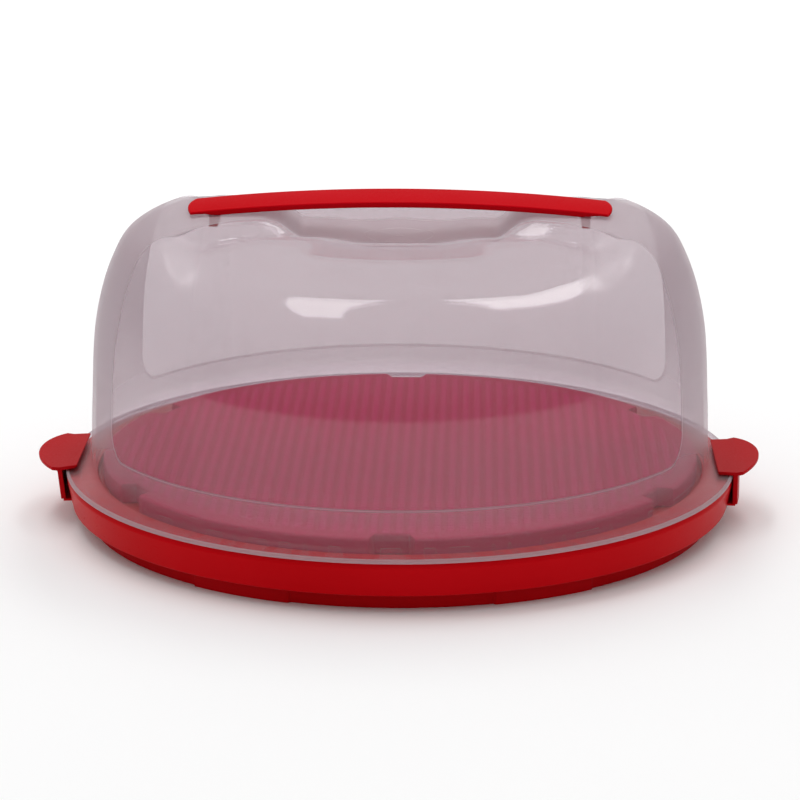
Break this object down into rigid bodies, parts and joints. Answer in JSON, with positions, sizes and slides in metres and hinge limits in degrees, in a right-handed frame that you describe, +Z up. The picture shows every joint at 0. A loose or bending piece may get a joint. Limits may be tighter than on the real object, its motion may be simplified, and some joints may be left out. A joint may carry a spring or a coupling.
{
  "type": "cake carrier",
  "caption": "Round cake carrier: a red base tray, a lift-out serving insert, a clear domed hood with a strap handle, and hinged clips at both sides.",
  "frame": {"origin": "on the table under the middle of the carrier", "axes": "+Z up, -Y is the front, the clips are on the X axis and the handle runs along X"},
  "size_m": [0.3599, 0.333, 0.1606],
  "materials": {
    "base_red": "satin",
    "insert_red": "fine moulded texture",
    "hood_clear": "translucent, frosted sides and clear windows",
    "handle_red": "satin",
    "clip_red": "satin"
  },
  "bodies": {
    "root": {"base_tray": "base_red", "hood": "hood_clear", "handle": "handle_red"},
    "insert": {"serving_insert": "insert_red"},
    "clip_right": {"clip_right": "clip_red"},
    "clip_left": {"clip_left": "clip_red"}
  },
  "joints": [
    {"name": "insert_lift", "type": "slide", "parent": "root", "child": "insert", "axis": [0, 0, 1], "range_m": [0, 0.045]},
    {"name": "clip_right_hinge", "type": "hinge", "parent": "root", "child": "clip_right", "pos_m": [0.1684, 0, 0.0121], "axis": [0, 1, 0], "range_deg": [0, 88]},
    {"name": "clip_left_hinge", "type": "hinge", "parent": "root", "child": "clip_left", "pos_m": [-0.1684, 0, 0.0121], "axis": [0, -1, 0], "range_deg": [-6, 82]}
  ]
}
